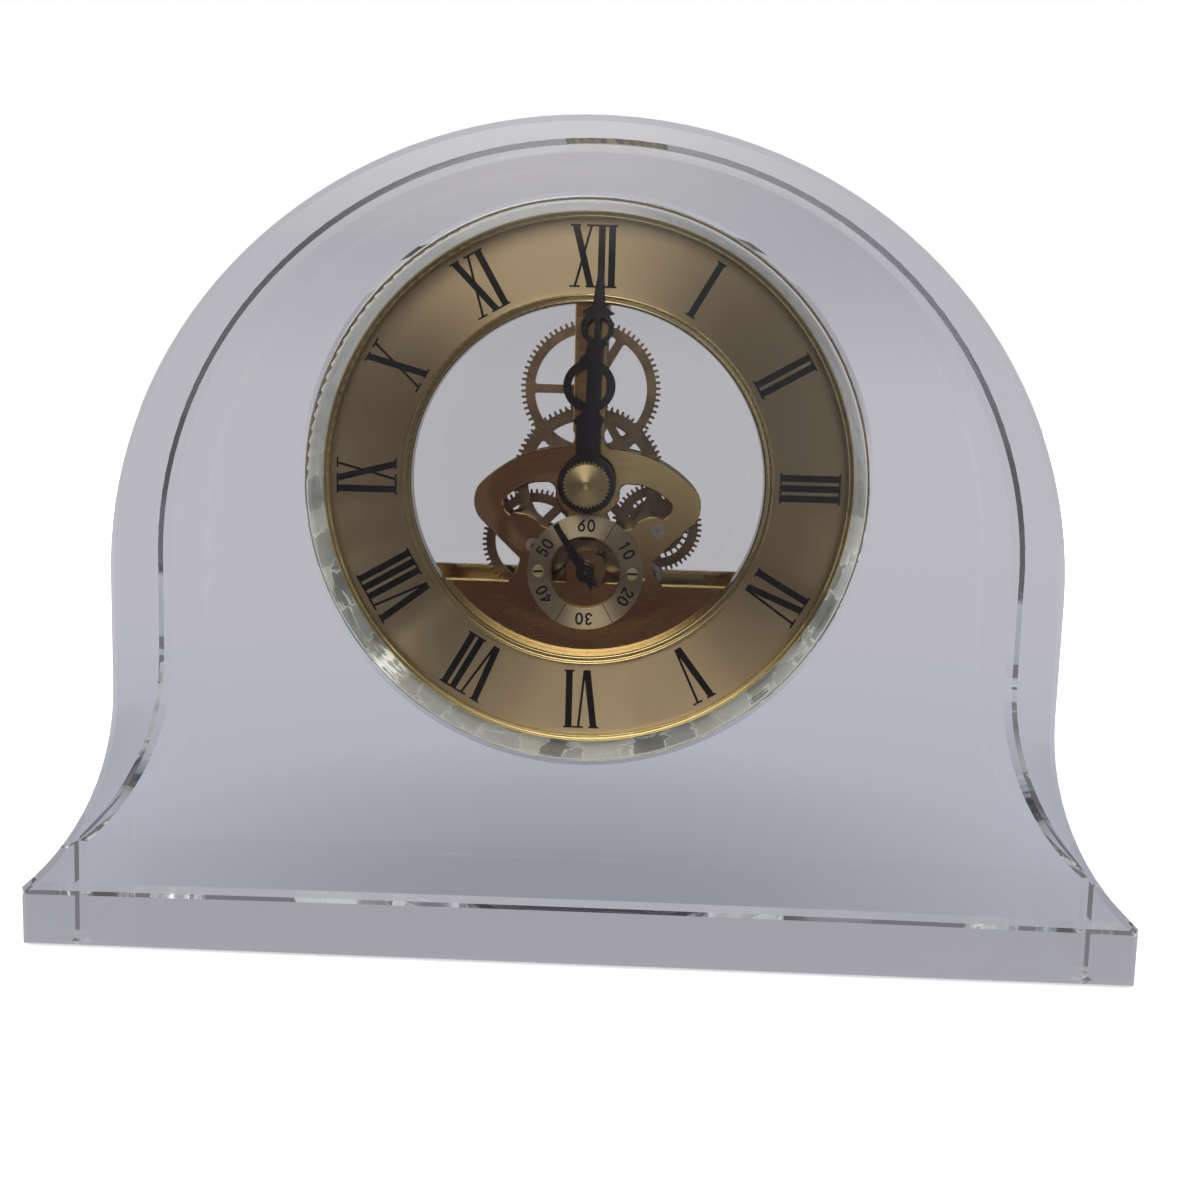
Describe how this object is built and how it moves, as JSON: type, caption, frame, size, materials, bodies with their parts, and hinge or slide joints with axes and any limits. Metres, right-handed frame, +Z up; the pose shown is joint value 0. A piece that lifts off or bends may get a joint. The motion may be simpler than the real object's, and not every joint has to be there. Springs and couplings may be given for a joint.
{
  "type": "crystal mantel clock",
  "caption": "Clear crystal mantel clock whose bore holds a skeleton quartz insert with a satin gold dial, open wheelwork and a seconds dial.",
  "frame": {"origin": "middle of the box that holds the clock, on the surface it stands on", "axes": "+X to the viewer's right, along the base; +Y from the dial towards the back; +Z up"},
  "size_m": [0.19, 0.041, 0.1405],
  "materials": {
    "crystal": "polished clear crystal",
    "adhesive": "clear glue with fine cracks",
    "clear_plastic": "polished clear plastic",
    "polished_gold": "mirror polish",
    "satin_gold": "satin, sunray",
    "print": "printed black",
    "turned_brass": "turned",
    "wheel_brass": "bronzed",
    "bush": "pale, burnished",
    "black_hands": "gloss black",
    "pinion_plastic": "moulded",
    "steel": "plain",
    "copper": "enamelled copper wire",
    "board": "green lacquer",
    "black_plastic": "moulded",
    "cell_sleeve": "printed sleeve",
    "knob_plastic": "gold coloured"
  },
  "bodies": {
    "clock_body": {"crystal_block": "crystal", "adhesive_ring": "adhesive", "clear_case": "clear_plastic", "outer_trim_ring": "polished_gold", "dial_ring": "satin_gold", "dial_numerals": "print", "inner_trim_ring": "polished_gold", "spacer_ring": "clear_plastic", "front_plate": "polished_gold", "rear_plate": "polished_gold", "plate_pillars": "turned_brass", "plate_screws": "turned_brass", "pivot_bushes": "bush", "rear_pivot_bushes": "bush", "centre_tube": "turned_brass", "subdial_ring": "satin_gold", "subdial_posts": "turned_brass", "subdial_screws": "turned_brass", "subdial_numerals": "print", "stator": "steel", "coil_core": "steel", "coil_bobbin": "pinion_plastic", "coil_winding": "copper", "circuit_board": "board", "control_chip": "black_plastic", "quartz_can": "steel", "movement_tray": "black_plastic", "dry_cell": "cell_sleeve", "battery_contacts": "turned_brass", "back_cover": "clear_plastic", "cover_screws": "steel"},
    "minute_arbor": {"centre_wheel": "wheel_brass", "cannon_pinion": "turned_brass", "minute_hand": "black_hands", "hand_nut": "polished_gold", "setting_knob": "knob_plastic"},
    "hour_pipe": {"hour_wheel": "wheel_brass", "hour_hand": "black_hands"},
    "minute_wheel_arbor": {"minute_wheel": "wheel_brass"},
    "third_arbor": {"third_wheel": "wheel_brass"},
    "seconds_arbor": {"seconds_wheel": "wheel_brass", "seconds_hand": "black_hands"},
    "intermediate_arbor": {"intermediate_wheel": "wheel_brass"},
    "rotor": {"rotor_pinion": "pinion_plastic", "rotor_magnet": "steel"},
    "battery_hatch": {"battery_door": "clear_plastic"}
  },
  "joints": [
    {"name": "seconds_spin", "type": "hinge", "parent": "clock_body", "child": "seconds_arbor", "pos_m": [0, -0.0195, 0.0665], "axis": [0, 1, 0], "continuous": true},
    {"name": "minute_spin", "type": "hinge", "parent": "clock_body", "child": "minute_arbor", "pos_m": [0, -0.0195, 0.082], "axis": [0, 1, 0], "continuous": true},
    {"name": "hour_spin", "type": "hinge", "parent": "clock_body", "child": "hour_pipe", "pos_m": [0, -0.0195, 0.082], "axis": [0, 1, 0], "continuous": true},
    {"name": "minute_wheel_spin", "type": "hinge", "parent": "clock_body", "child": "minute_wheel_arbor", "pos_m": [0, -0.0195, 0.0975], "axis": [0, 1, 0], "continuous": true},
    {"name": "third_spin", "type": "hinge", "parent": "clock_body", "child": "third_arbor", "pos_m": [-0.00918, -0.0195, 0.07079], "axis": [0, 1, 0], "continuous": true},
    {"name": "intermediate_spin", "type": "hinge", "parent": "clock_body", "child": "intermediate_arbor", "pos_m": [0.0121, -0.0195, 0.074], "axis": [0, 1, 0], "continuous": true},
    {"name": "rotor_spin", "type": "hinge", "parent": "clock_body", "child": "rotor", "pos_m": [0.00996, -0.0195, 0.06545], "axis": [0, 1, 0], "continuous": true},
    {"name": "battery_hatch_swing", "type": "hinge", "parent": "clock_body", "child": "battery_hatch", "pos_m": [0, 0.0079, 0.04437], "axis": [-1, 0, 0], "range_deg": [0, 90]}
  ],
  "couplings": [
    {"joint": "minute_spin", "follows": "seconds_spin", "ratio": 0.016667},
    {"joint": "hour_spin", "follows": "seconds_spin", "ratio": 0.0013889},
    {"joint": "minute_wheel_spin", "follows": "seconds_spin", "ratio": -0.0055556},
    {"joint": "third_spin", "follows": "seconds_spin", "ratio": -0.13333},
    {"joint": "intermediate_spin", "follows": "seconds_spin", "ratio": -1.6},
    {"joint": "rotor_spin", "follows": "seconds_spin", "ratio": 10}
  ]
}
